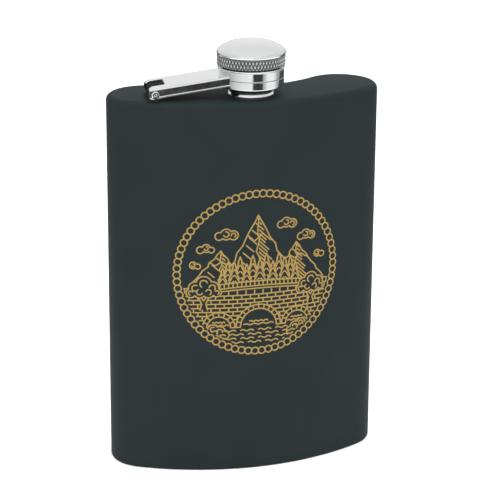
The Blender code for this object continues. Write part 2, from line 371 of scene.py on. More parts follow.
def bumped(tree, shader, layers):
    """Stacks (height, strength, distance) bumps on the shader's normal."""
    below = None
    for height, strength, distance in layers:
        bump = tree.nodes.new("ShaderNodeBump")
        bump.inputs["Strength"].default_value = strength
        bump.inputs["Distance"].default_value = distance
        tree.links.new(height, bump.inputs["Height"])
        if below:
            tree.links.new(below, bump.inputs["Normal"])
        below = bump.outputs["Normal"]
    tree.links.new(below, shader.inputs["Normal"])


def coat_material():
    """Matt black paint: fine orange peel, a faint mottle, and a soft sheen."""
    material, tree, shader = new_material("matt_black_coat", (0.0105, 0.0162, 0.0171), 0.64)
    mottle = spread(tree, noise(tree, 55, 4), 0.3, 0.7, 0, 1)
    colour = blended(tree, mottle, (0.0096, 0.0149, 0.0158), (0.0114, 0.0174, 0.0184))
    tree.links.new(colour, shader.inputs["Base Color"])
    grain = noise(tree, 5200, 2)
    tree.links.new(spread(tree, grain, 0.25, 0.75, 0.58, 0.70), shader.inputs["Roughness"])
    shader.inputs["Specular IOR Level"].default_value = 0.1
    peel = noise(tree, 1500, 2)
    bumped(tree, shader, [(peel, 0.25, 0.00003), (grain, 0.3, 0.000012)])
    return material


def polished_material():
    """Bright plated steel: smooth, with a faint haze and the fine lines of turning and polishing."""
    material, tree, shader = new_material("polished_steel", (0.80, 0.81, 0.81), 0.1, 1.0)
    haze = noise(tree, 240, 4)
    tree.links.new(spread(tree, haze, 0.25, 0.75, 0.06, 0.15), shader.inputs["Roughness"])
    tint = blended(tree, noise(tree, 90, 2), (0.76, 0.77, 0.775), (0.84, 0.845, 0.84))
    tree.links.new(tint, shader.inputs["Base Color"])
    lines = noise(tree, 60, 5, (1, 1, 90))
    bumped(tree, shader, [(lines, 0.12, 0.00002)])
    return material


def knurl_groove_shade_material():
    """The polished steel, with painted shade darkening it down in the knurl's grooves."""
    material, tree, shader = new_material("knurled_steel_groove_shade", (0.6, 0.61, 0.61), 0.25, 1.0)
    place = tree.nodes.new("ShaderNodeTexCoord")
    centred = tree.nodes.new("ShaderNodeMapping")
    centred.inputs["Location"].default_value = (-NECK_AXIS.x, -NECK_AXIS.y, 0)
    centred.inputs["Scale"].default_value = (1, 1, 0)
    reach = tree.nodes.new("ShaderNodeVectorMath")
    reach.operation = "LENGTH"
    tree.links.new(place.outputs["Object"], centred.inputs["Vector"])
    tree.links.new(centred.outputs["Vector"], reach.inputs[0])
    groove_shade_mask = spread(tree, reach.outputs["Value"], CAP_RADIUS - KNURL_DEPTH, CAP_RADIUS, 0, 1)
    # Painted shade: the colour goes near black towards the bottom of each groove, by depth below the crests.
    tint = blended(tree, groove_shade_mask, (0.02, 0.022, 0.022), (0.62, 0.63, 0.63))
    tree.links.new(tint, shader.inputs["Base Color"])
    grain = noise(tree, 2500, 3)
    tree.links.new(spread(tree, grain, 0.25, 0.75, 0.2, 0.36), shader.inputs["Roughness"])
    bumped(tree, shader, [(grain, 0.15, 0.00001)])
    return material


def shade_dark_steel_material():
    """Unpolished steel with a drawn grain, kept dark all over as painted shade where the neck shows under
    the collar and the lug shows in the arm's notch.
    """
    material, tree, shader = new_material("dark_steel", (0.1, 0.105, 0.105), 0.38, 1.0)
    shader.inputs["Specular Tint"].default_value = (0.25, 0.25, 0.25, 1)
    grain = noise(tree, 300, 4, (1, 14, 14))
    tree.links.new(spread(tree, grain, 0.25, 0.75, 0.3, 0.5), shader.inputs["Roughness"])
    # Painted shade: these near-black colours stand for the shade in the gap under the collar and in the
    # arm's notch.
    tint = blended(tree, noise(tree, 800, 3), (0.06, 0.065, 0.065), (0.14, 0.145, 0.145))
    tree.links.new(tint, shader.inputs["Base Color"])
    bumped(tree, shader, [(grain, 0.25, 0.00002)])
    return material


def ink_material():
    """Gold screen-print ink: metallic flakes in a warm binder."""
    material, tree, shader = new_material("gold_ink", (0.30, 0.20, 0.055), 0.45, 0.35)
    flakes = noise(tree, 4200, 2)
    tree.links.new(spread(tree, flakes, 0.3, 0.7, 0.36, 0.55), shader.inputs["Roughness"])
    tint = blended(tree, noise(tree, 700, 4), (0.24, 0.158, 0.038), (0.345, 0.23, 0.061))
    tree.links.new(tint, shader.inputs["Base Color"])
    bumped(tree, shader, [(flakes, 0.2, 0.00001)])
    return material


def plastic_material():
    """Moulded black plastic with a fine grain."""
    material, tree, shader = new_material("black_plastic", (0.02, 0.02, 0.02), 0.4)
    grain = noise(tree, 3000, 3)
    tree.links.new(spread(tree, grain, 0.25, 0.75, 0.32, 0.5), shader.inputs["Roughness"])
    tint = blended(tree, noise(tree, 400, 2), (0.016, 0.016, 0.017), (0.027, 0.027, 0.028))
    tree.links.new(tint, shader.inputs["Base Color"])
    bumped(tree, shader, [(grain, 0.2, 0.00002)])
    return material


def silicone_material():
    """Soft, milky silicone."""
    material, tree, shader = new_material("silicone", (0.75, 0.75, 0.72), 0.45)
    shader.inputs["Subsurface Weight"].default_value = 0.2
    shader.inputs["Subsurface Scale"].default_value = 0.001
    cloud = noise(tree, 350, 3)
    tint = blended(tree, cloud, (0.70, 0.70, 0.67), (0.80, 0.80, 0.78))
    tree.links.new(tint, shader.inputs["Base Color"])
    grain = noise(tree, 2600, 2)
    tree.links.new(spread(tree, grain, 0.25, 0.75, 0.38, 0.55), shader.inputs["Roughness"])
    bumped(tree, shader, [(grain, 0.15, 0.00002)])
    return material


def floor_material():
    """A pale, matt floor with no gloss."""
    material, tree, shader = new_material("pale_floor", (0.86, 0.86, 0.86), 0.8)
    shader.inputs["Specular IOR Level"].default_value = 0.0
    cloud = noise(tree, 3, 3)
    tint = blended(tree, cloud, (0.85, 0.85, 0.85), (0.88, 0.88, 0.88))
    tree.links.new(tint, shader.inputs["Base Color"])
    return material


# ---------------------------------------------------------------- body


def section(inset):
    """The body's outline, anticlockwise from the front's left end, drawn in by inset."""
    front = math.atan2(END_X, FRONT_CENTRE - END_Y)
    back = math.atan2(END_X, BACK_CENTRE - END_Y)
    down = -math.pi / 2
    end = END_RADIUS - inset
    points = arc((0, FRONT_CENTRE), FRONT_RADIUS - inset, down - front, down + front, 96)
    points += arc((END_X, END_Y), end, down + front, math.pi / 2 + back, 32)
    points += arc((0, BACK_CENTRE), BACK_RADIUS + inset, down + back, down - back, 72)
    points += arc((-END_X, END_Y), end, math.pi / 2 - back, 3 * math.pi / 2 - front, 32)
    return [(x, y + SECTION_SHIFT) for x, y in points]


def level(inset, z):
    """The body's outline at a height."""
    return [(x, y, z) for x, y in section(inset)]


def plate_levels(fillet, edge, inner, steps=8):
    """Rings of a pressed end plate, from the outside of its panel, round its skirt, to the inside.

    edge is the height of the outside face, inner the direction to the inside of the body, +1 or -1.
    """
    corners = [math.pi / 2 * i / steps for i in range(steps + 1)]
    middle = edge + inner * fillet
    skirt_end = edge + inner * SKIRT
    rings = []
    for a in reversed(corners):
        rings.append(level(fillet - fillet * math.cos(a), middle - inner * fillet * math.sin(a)))
    rings += [level(0, skirt_end), level(WALL, skirt_end)]
    reach = fillet - WALL
    for a in corners:
        rings.append(level(fillet - reach * math.cos(a), middle - inner * reach * math.sin(a)))
    return rings


def add_body(coat):
    """Wall, top plate with the neck's hole, and base plate."""
    low = SKIRT
    high = TOP - SKIRT
    rings = [level(0, low), level(0, high), level(WALL, high), level(WALL, low)]
    add_piece("body_shell_wall", skinned(rings, True), coat, "flask", node="body_shell")

    hole = []
    for x, y in section(SHOULDER_FILLET):
        across = Vector((x - NECK_AXIS.x, y - NECK_AXIS.y)).normalized() * NECK_RADIUS
        hole.append((NECK_AXIS.x + across.x, NECK_AXIS.y + across.y))
    rings = [[(x, y, TOP) for x, y in hole]]
    rings += plate_levels(SHOULDER_FILLET, TOP, -1)
    rings.append([(x, y, TOP - WALL) for x, y in hole])
    shoulder = skinned(rings, True)
    add_piece("shoulder_plate_top", shoulder, coat, "flask", node="shoulder_plate")

    # The base stands on a rim, with a shallow pressed step inside it.
    slant = BASE_RIM + 0.0006
    rings = [level(slant + 0.0005, BASE_STEP), level(slant, BASE_STEP), level(BASE_RIM, 0)]
    rings += plate_levels(BASE_FILLET, 0, 1)
    rings += [level(BASE_RIM, WALL), level(slant, WALL + BASE_STEP)]
    add_piece("base_plate_pan", skinned(rings, False), coat, "flask", node="base_plate")


# ---------------------------------------------------------------- neck and cap


def ridge(z, angle, low, high):
    """How far a thread stands out at this place, from 0 to 1, run out at both ends."""
    turn = ((z - low) / THREAD_PITCH - angle / (2 * math.pi)) % 1
    flank = max(0.0, min(1.0, 1.5 * (1 - abs(turn - 0.5) / 0.36)))
    fade = max(0.0, min(1.0, (z - low) / 0.0008, (high - z) / 0.0008))
    return flank * fade * fade * (3 - 2 * fade)


def rows(radius, low, high, count):
    """Points up, or down, a straight side, close enough to carry a thread or a knurl."""
    return [(radius, low + (high - low) * i / count) for i in range(count + 1)]


def neck_wave(angle, radius, z):
    """The neck's outside as its thread leaves it."""
    if abs(radius - NECK_RADIUS) > 1e-7 or z < THREAD_LOW - 0.0001:
        return radius
    return NECK_RADIUS - THREAD_DEPTH * (1 - ridge(z, angle, THREAD_LOW, THREAD_HIGH))


def add_neck(steel, shade_dark_steel):
    """Threaded spout and the ring round its foot."""
    edge = 0.0005
    profile = [(NECK_BORE, NECK_ROOT), (NECK_RADIUS, NECK_ROOT), (NECK_RADIUS, THREAD_LOW - 0.0002)]
    profile += rows(NECK_RADIUS, THREAD_LOW, THREAD_HIGH, 60)
    outer = NECK_RADIUS - THREAD_DEPTH
    corners = [(outer, THREAD_HIGH + 0.0002, 0), (outer, NECK_TOP, edge), (NECK_BORE, NECK_TOP, edge / 2)]
    lip = rounded(corners, 4)
    place = Matrix.Translation(NECK_AXIS)
    spout = turned(profile + lip, 120, neck_wave)
    # The spout's dark steel is painted shade for the gap under the collar.
    add_piece("neck_spout_thread", spout, shade_dark_steel, "flask", place, node="neck_spout")

    bore = NECK_RADIUS + 0.00015
    flange = rounded(
        [
            (bore, -0.00001, 0),
            (FLANGE_FOOT_RADIUS, -0.00001, 0),
            (FLANGE_FOOT_RADIUS, 0.0006, 0.0003),
            (FLANGE_TOP_RADIUS, FLANGE_HEIGHT, 0.0004),
            (bore, FLANGE_HEIGHT, 0.0002),
        ]
    )
    ring = turned(held(flange), 120)
    add_piece("neck_flange_ring", ring, steel, "flask", place, node="neck_flange")


def knurled(angle, radius, z):
    """The knurl cut into the cap's side: pyramids between two families of slanting grooves."""
    if radius < CAP_RADIUS - 0.0009 or not KNURL_LOW - 0.0002 <= z <= KNURL_HIGH:
        return radius
    around = KNURL_TEETH * angle / (2 * math.pi)
    along = z / KNURL_PITCH
    first = abs(2 * ((around + along) % 1) - 1)
    second = abs(2 * ((around - along) % 1) - 1)
    return min(radius, CAP_RADIUS - KNURL_DEPTH * (1 - min(first, second)))


def add_cap(steel, knurl, shade_dark_steel, plastic, rubber):
    """Knurled shell, sleeve, threaded liner and gasket."""
    place = Matrix.Translation(NECK_AXIS)
    inside = SLEEVE_RADIUS + 0.0002
    profile = [(0, CAP_CEILING), (inside, CAP_CEILING), (inside, CAP_BOTTOM)]
    profile += [(CAP_RADIUS - 0.0006, CAP_BOTTOM), (CAP_RADIUS - 0.0002, CAP_BOTTOM + 0.00015)]
    profile += rows(CAP_RADIUS, KNURL_LOW + 0.0002, KNURL_HIGH - 0.0001, 30)
    waist = CAP_RADIUS - KNURL_DEPTH
    profile += [(waist, KNURL_HIGH), (waist, KNURL_HIGH + 0.0001)]
    profile += [(CAP_RADIUS - 0.00006, KNURL_HIGH + 0.0002)]
    bend = (CAP_RADIUS - CAP_EDGE, CAP_RIM - CAP_EDGE)
    profile += arc(bend, CAP_EDGE, 0, CAP_EDGE_TURN, 12)
    flat = bend[0] + CAP_EDGE * math.cos(CAP_EDGE_TURN)
    crown = bend[1] + CAP_EDGE * math.sin(CAP_EDGE_TURN)
    for step in range(25):
        across = 1 - step / 24
        profile.append((flat * across, crown + CAP_DOME * (1 - across**CAP_DOME_POWER)))
    shell = turned(profile, KNURL_TEETH * 8, knurled)
    piece = add_piece(
        "cap_shell_knurled", shell, steel, "cap", place, sharp=28, node="cap_shell"
    )
    piece.data.materials.append(knurl)
    for face in piece.data.polygons:
        middle = face.center - NECK_AXIS
        if KNURL_LOW <= middle.z <= KNURL_HIGH + 0.0001 and middle.xy.length > waist - 0.0001:
            face.material_index = 1

    rim = SLEEVE_RADIUS + SLEEVE_RIM
    rim_half = 0.0003
    soft = 0.00012
    low = COLLAR_BOTTOM + RUNNING_GAP
    high = CAP_CEILING - RUNNING_GAP
    profile = rounded(
        [
            (SLEEVE_BORE, low, soft),
            (SLEEVE_RADIUS, low, soft),
            (SLEEVE_RADIUS, COLLAR_SPLIT - rim_half, 0),
            (rim, COLLAR_SPLIT - rim_half, soft),
            (rim, COLLAR_SPLIT + rim_half, soft),
            (SLEEVE_RADIUS, COLLAR_SPLIT + rim_half, 0),
            (SLEEVE_RADIUS, high, soft),
            (SLEEVE_BORE, high, soft),
        ],
        3,
    )
    sleeve = turned(profile, 120)
    add_piece("cap_sleeve_tube", sleeve, shade_dark_steel, "cap", place, node="cap_sleeve")

    start = low + 0.0004
    end = INSERT_CEILING - 0.0012
    profile = [(0, INSERT_CEILING), (INSERT_BORE, INSERT_CEILING), (INSERT_BORE, end + 0.0002)]
    profile += rows(INSERT_BORE, end, start, 60)
    profile += [(INSERT_BORE + 0.0003, low), (INSERT_RADIUS, low)]
    profile += [(INSERT_RADIUS, INSERT_TOP), (0, INSERT_TOP)]

    def inner_thread(angle, radius, z):
        if abs(radius - INSERT_BORE) > 1e-7:
            return radius
        return INSERT_BORE - INSERT_THREAD * ridge(z, angle, start, end)

    insert = turned(profile, 120, inner_thread)
    add_piece("thread_insert_liner", insert, plastic, "cap", place, node="thread_insert")

    soft = 0.0003
    corners = [(0, GASKET_LOW, 0), (GASKET_RADIUS, GASKET_LOW, soft)]
    corners += [(GASKET_RADIUS, GASKET_HIGH, soft), (0, GASKET_HIGH, 0)]
    gasket = turned(rounded(corners), 96)
    add_piece("seal_gasket_disc", gasket, rubber, "cap", place, node="seal_gasket")


# ---------------------------------------------------------------- hinge, arm and collar


def add_hinge(steel, shade_dark_steel):
    """Lug on the shoulder and the rivet through it."""
    place = Matrix.Translation(PIN_PLACE) @ Matrix.Rotation(ARM_HEADING, 4, "Z")
    low = -PIN_HEIGHT
    right = [(LUG_RADIUS, 0), (LUG_RADIUS, low + 0.0009), (LUG_RADIUS + 0.0002, low + 0.0006)]
    right += [(LUG_FOOT - 0.0002, low + 0.0006), (LUG_FOOT, low + 0.0004), (LUG_FOOT, low - 0.00002)]
    left = [(-x, z) for x, z in reversed(right[1:])]
    lug = arc((0, 0), LUG_RADIUS, math.pi, 0, 20) + right + left
    solid = prism(lug, -LUG_HALF_LENGTH, LUG_HALF_LENGTH, "Y")
    bore = prism(arc((0, 0), PIN_RADIUS + 0.0002, 0, 2 * math.pi, 40), -0.005, 0.005, "Y")
    bracket = combined(solid, [("DIFFERENCE", bore)])
    # The lug's dark steel is painted shade under the arm's notch.
    add_piece("hinge_bracket_lug", bracket, shade_dark_steel, "flask", place, node="hinge_bracket")

    # The pin is a rivet: a head at each end, with a small dimple.
    half = ARM_WIDTH / 2
    end = [(0, half + 0.0001), (0.0003, half + 0.0001), (0.00055, half + RIVET_PROUD)]
    end += [(RIVET_RADIUS - 0.0003, half + RIVET_PROUD), (RIVET_RADIUS, half + 0.0001)]
    end += [(RIVET_RADIUS, half), (PIN_RADIUS, half)]
    profile = end + [(radius, -z) for radius, z in reversed(end)]
    pin = moved(turned(profile, 40), Matrix.Rotation(math.pi / 2, 4, "X"))
    add_piece("hinge_pin_rivet", pin, steel, "arm", place, node="hinge_pin")


def add_arm(steel):
    """A pressed channel: one bent sheet, open below, notched for the lug and cut to the collar."""
    half = ARM_WIDTH / 2
    bend = 0.0008
    start = -math.acos(1 / 3)
    side = arc((0, 0), EAR_RADIUS, math.pi / 2, 2 * math.pi + start, 48)
    flange = EAR_RADIUS - ARM_DEPTH
    side += [(EAR_BLEND, flange), (ARM_REACH, flange), (ARM_REACH, EAR_RADIUS)]
    solid = prism(side, -half - 0.0001, half + 0.0001, "Y")

    deep = -2 * EAR_RADIUS
    # Across the arm: a bent top, upright flanges set in a little, and a thin rolled lip under each.
    set_in = half - 0.0002
    right = [
        (set_in, deep, 0),
        (set_in, flange - 0.0001, 0),
        (half, flange, 0.0001),
        (half, flange + 0.0003, 0.0001),
        (set_in, flange + 0.0005, 0),
        (set_in, EAR_RADIUS, bend),
    ]
    left = [(-x, z, radius) for x, z, radius in reversed(right)]
    envelope = prism(rounded(right + left, 16), -2 * EAR_RADIUS, 2 * ARM_REACH, "X")

    inner = half - ARM_SHEET
    hollow = rounded(
        [
            (-inner, deep, 0),
            (inner, deep, 0),
            (inner, EAR_RADIUS - ARM_SHEET, 0.0003),
            (-inner, EAR_RADIUS - ARM_SHEET, 0.0003),
        ],
        4,
    )
    notch_half = NOTCH_WIDTH / 2
    notch = rounded(
        [
            (-2 * EAR_RADIUS, -notch_half, 0),
            (NOTCH_LENGTH, -notch_half, 0.0005),
            (NOTCH_LENGTH, notch_half, 0.0005),
            (-2 * EAR_RADIUS, notch_half, 0),
        ],
        5,
    )
    hole = arc((0, 0), PIN_RADIUS + 0.00005, 0, 2 * math.pi, 40)
    level_out = Matrix.Rotation(ARM_SLOPE, 4, "Y")
    collar = arc((ARM_REACH, 0), COLLAR_RADIUS - 0.0001, 0, 2 * math.pi, 120)
    steps = [("INTERSECT", envelope)]
    steps.append(("DIFFERENCE", prism(hollow, -3 * EAR_RADIUS, 3 * ARM_REACH, "X")))
    steps.append(("DIFFERENCE", prism(notch, -EAR_RADIUS, 2 * EAR_RADIUS, "Z")))
    steps.append(("DIFFERENCE", prism(hole, -ARM_WIDTH, ARM_WIDTH, "Y")))
    steps.append(("DIFFERENCE", moved(prism(collar, -0.03, 0.03, "Z"), level_out)))
    place = Matrix.Translation(PIN_PLACE) @ Matrix.Rotation(ARM_HEADING, 4, "Z")
    place = place @ Matrix.Rotation(-ARM_SLOPE, 4, "Y")
    arm = combined(solid, steps)
    add_piece("captive_arm_channel", arm, steel, "arm", place, sharp=4, node="captive_arm")


def add_collar(steel):
    """Two rings that hold the sleeve's rim between them, and the lip on top."""
    place = Matrix.Translation(NECK_AXIS)
    gap = 0.00008
    soft = 0.00012
    room = 0.0006
    groove = SLEEVE_RADIUS + room
    low = COLLAR_SPLIT - gap
    profile = rounded(
        [
            (COLLAR_BORE, COLLAR_BOTTOM, soft),
            (COLLAR_RADIUS, COLLAR_BOTTOM, 0.00035),
            (COLLAR_RADIUS, low, soft),
            (groove, low, 0),
            (groove, COLLAR_SPLIT - room, 0),
            (COLLAR_BORE, COLLAR_SPLIT - room, soft),
        ]
    )
    lower = turned(held(profile), 144)
    name = "collar_lower_band"
    add_piece(name, lower, steel, "arm", place, node="collar_lower_ring")
    high = COLLAR_SPLIT + gap
    profile = rounded(
        [
            (COLLAR_BORE, COLLAR_SPLIT + room, soft),
            (groove, COLLAR_SPLIT + room, 0),
            (groove, high, 0),
            (COLLAR_RADIUS, high, soft),
            (COLLAR_RADIUS, COLLAR_TOP, 0.0002),
            (COLLAR_BORE, COLLAR_TOP, soft),
        ]
    )
    upper = turned(held(profile), 144)
    name = "collar_upper_band"
    add_piece(name, upper, steel, "arm", place, node="collar_upper_ring")
    low = COLLAR_TOP + 0.0001
    high = COLLAR_TOP + 0.0005
    outer = COLLAR_RADIUS + 0.0003
    corners = [(COLLAR_BORE, low, 0), (outer, low, 0.0002), (outer, high, 0.0002), (COLLAR_BORE, high, 0)]
    washer = turned(held(rounded(corners)), 144)
    name = "swivel_washer_lip"
    add_piece(name, washer, steel, "arm", place, node="swivel_washer")


# ---------------------------------------------------------------- medallion artwork, in millimetres


def spaced(points, step):
    """The polyline with points at about this spacing, its corners kept."""
    result = [points[0]]
    for (u0, v0), (u1, v1) in zip(points, points[1:]):
        count = max(1, round(math.hypot(u1 - u0, v1 - v0) / step))
        for i in range(1, count + 1):
            result.append((u0 + (u1 - u0) * i / count, v0 + (v1 - v0) * i / count))
    return result


def circle(u, v, radius, steps=28):
    return arc((u, v), radius, 0, 2 * math.pi, steps)


def mask_of(outline):
    """The outline with its bounds in front of it."""
    us = [u for u, _ in outline]
    vs = [v for _, v in outline]
    return min(us), max(us), min(vs), max(vs), outline


def covers(mask, u, v):
    """Whether the point is inside the mask's outline."""
    left, right, low, high, outline = mask
    if not (left <= u <= right and low <= v <= high):
        return False
    inside = False
    for (u0, v0), (u1, v1) in zip(outline, outline[1:] + outline[:1]):
        if (v0 > v) != (v1 > v) and u < (u1 - u0) * (v - v0) / (v1 - v0) + u0:
            inside = not inside
    return inside


class LineArt:
    """A line drawing made from the front to the back: what is already there hides what comes after."""

    def __init__(self, radius):
        self.radius = radius
        self.masks = []
        self.strokes = []

    def draw(self, points, within=None, outside=()):
        """Keeps the stretches of the line that show, inside within and outside each mask of outside."""
        run = []
        for u, v in spaced(points, INK_STEP):
            hidden = math.hypot(u, v) > self.radius or (within and not covers(within, u, v))
            hidden = hidden or any(covers(mask, u, v) for mask in self.masks)
            if hidden or any(covers(mask, u, v) for mask in outside):
                self.keep(run)
                run = []
            else:
                run.append((u, v))
        self.keep(run)

    def keep(self, run):
        if len(run) > 2:
            self.strokes.append(run)

    def loop(self, points, within=None, outside=()):
        self.draw(points + points[:1], within, outside)

    def hide(self, outline):
        self.masks.append(mask_of(outline))


def draw_puff(art, circles, curls):
    """A cloud, bush or crown: the line round overlapping circles, with curls inside some of them."""
    masks = [mask_of(circle(*one)) for one in circles]
    for i, one in enumerate(circles):
        art.loop(circle(*one), outside=masks[:i] + masks[i + 1 :])
    for i, start, end in curls:
        u, v, radius = circles[i]
        art.draw(arc((u, v), radius * 0.48, math.radians(start), math.radians(end), 14))
    for mask in masks:
        art.masks.append(mask)


def draw_pine(art, u, v, height):
    """A pine standing on (u, v), in four tiers with needle strokes."""
    tiers = 4
    tier = height * 0.88 / tiers
    half = height * 0.26
    right = [(0.0, height)]
    for i in range(tiers):
        reach = half * (i + 1.3) / (tiers + 0.3)
        foot = height - tier * (i + 1)
        right += [(reach, foot), (reach * 0.5, foot + tier * 0.12)]
    trunk = [(0.45, height * 0.12 + 0.2), (0.45, 0.0)]
    outline = [(u + a, v + b) for a, b in right[:-1] + trunk]
    outline += [(u - a, v + b) for a, b in reversed(right[:-1] + trunk)]
    art.loop(outline)
    for i in range(1, tiers):
        reach = half * (i + 0.9) / (tiers + 0.3)
        high = v + height - tier * (i + 0.35)
        for sign in (-1, 1):
            art.draw([(u + sign * reach * 0.12, high), (u + sign * reach * 0.6, high - tier * 0.42)])
    art.hide(outline)


def slope(foot, peak, count, rough):
    """A broken line from the foot to the peak, stepping in and out a little."""
    points = []
    for i in range(count + 1):
        t = i / count
        kick = rough * math.sin(2.7 * i + foot[0]) * math.sin(math.pi * t)
        points.append((foot[0] + (peak[0] - foot[0]) * t + kick, foot[1] + (peak[1] - foot[1]) * t))
    return points


def draw_mountain(art, left, peak, right, snow):
    """A peak with a snow line, a broken ridge and slanting shade lines down its right side."""
    rise = slope(left, peak, 9, 0.5)
    fall = slope(right, peak, 9, 0.5)
    outline = rise + fall[::-1]
    inside = mask_of(outline)
    art.draw(outline)
    height = peak[1] - left[1]
    ridge_line = [(peak[0] + 0.9 * math.sin(1.9 * i) * i / 8, peak[1] - height * i / 11) for i in range(11)]
    art.draw(ridge_line)
    width = right[0] - left[0]
    edge = peak[1] - height * snow
    teeth = 9
    zigzag = [
        (left[0] + width * i / teeth, edge + (0.055 if i % 2 else -0.055) * height)
        for i in range(teeth + 1)
    ]
    art.draw(zigzag, within=inside)
    lines = int(height / 1.25)
    for i in range(1, lines):
        v = peak[1] - height * i / lines
        u = peak[0] + 0.4
        reach = width * 0.36 * i / lines * (0.95 if i % 2 else 0.68)
        art.draw([(u, v), (u + reach, v - reach * 0.95)], within=inside)
    for i in range(2, lines, 2):
        v = peak[1] - height * i / lines
        u = peak[0] - width * 0.36 * i / lines
        reach = width * 0.1
        art.draw([(u, v), (u + reach, v - reach * 0.9)], within=inside)
    art.hide(outline)


def draw_bridge(art):
    """A stone bridge with three arches over water, drawn brick by brick."""
    water = -19.2
    end = 27
    stone = 1.5
    kerb = 0.95
    rail = 2.6

    def deck(u):
        return -7.6 + 2.2 * math.cos(math.pi * u / (2 * end))

    arches = [(0.0, 6.4), (-13.9, 4.1), (13.9, 4.1)]
    openings = []
    rings = []
    for u, radius in arches:
        opening = arc((u, water), radius, 0, math.pi, 24) + [(u - radius, water)]
        openings.append(mask_of(opening))
        outer = arc((u, water), radius + stone, 0, math.pi, 30) + [(u - radius - stone, water)]
        rings.append(mask_of(outer))
        art.draw(opening)
        art.draw(outer)
        stones = round(math.pi * radius / 1.7)
        for i in range(1, stones):
            a = math.pi * i / stones
            near = (u + radius * math.cos(a), water + radius * math.sin(a))
            far = (u + (radius + stone) * math.cos(a), water + (radius + stone) * math.sin(a))
            art.draw([near, far])
        for row, reach in ((0.9, 0.82), (2.0, 0.5)):
            half = radius * reach
            surface = water + row
            art.draw([(u + half * (t / 8 - 1), surface + 0.22 * math.sin(t * 1.4)) for t in range(17)])

    span = [i * 0.75 for i in range(-36, 37)]
    for lift in (0.0, kerb, rail):
        art.draw([(u, deck(u) + lift) for u in span])
    for i in range(-17, 18):
        u = i * 1.5
        art.draw([(u, deck(u) + kerb), (u, deck(u) + rail)])

    wall = mask_of([(-end, water), (end, water)] + [(u, deck(u)) for u in reversed(span)])
    course = 1.45
    for row in range(9):
        v = water + row * course
        art.draw([(-end, v), (end, v)], within=wall, outside=rings)
        shift = 0.0 if row % 2 else 1.5
        for i in range(-9, 10):
            u = i * 3.0 + shift
            art.draw([(u, v), (u, v + course)], within=wall, outside=rings)
    art.draw([(-end, water), (end, water)], outside=openings)
    art.hide([(-end, -30), (end, -30)] + [(u, deck(u) + rail) for u in reversed(span)])


def draw_water(art):
    """Rows of short waves under the bridge."""
    for row in range(4):
        v = -20.4 - row * 1.45
        for i in range(-4, 5):
            start = i * 6.2 + (2.6 if row % 2 else 0)
            points = [(start + t * 0.55, v + 0.28 * math.sin(t * 1.25)) for t in range(9)]
            art.draw(points)


def draw_tree(art, u, v, size):
    """A broad tree: a forked trunk under a crown of leaves."""
    crown = [
        (u, v + 9.4 * size, 2.7 * size),
        (u - 2.9 * size, v + 7.9 * size, 2.3 * size),
        (u + 2.9 * size, v + 8.0 * size, 2.2 * size),
        (u - 1.4 * size, v + 6.5 * size, 2.1 * size),
        (u + 1.6 * size, v + 6.4 * size, 2.0 * size),
        (u - 4.4 * size, v + 6.1 * size, 1.6 * size),
        (u + 4.5 * size, v + 6.2 * size, 1.5 * size),
    ]
    curls = [(0, 20, 250), (1, 60, 300), (2, -40, 190), (3, 120, 350)]
    curls += [(4, -60, 170), (5, 40, 260), (6, -60, 150)]
    draw_puff(art, crown, curls)
    left = [(u - 1.3 * size, v), (u - 0.7 * size, v + 2.2 * size), (u - 2.0 * size, v + 4.9 * size)]
    right = [(u + 1.3 * size, v), (u + 0.7 * size, v + 2.2 * size), (u + 2.0 * size, v + 4.9 * size)]
    fork = [(u - 0.9 * size, v + 4.6 * size), (u, v + 3.3 * size), (u + 0.9 * size, v + 4.6 * size)]
    art.draw(left)
    art.draw(right)
    art.draw(fork)
    art.hide(left + right[::-1])


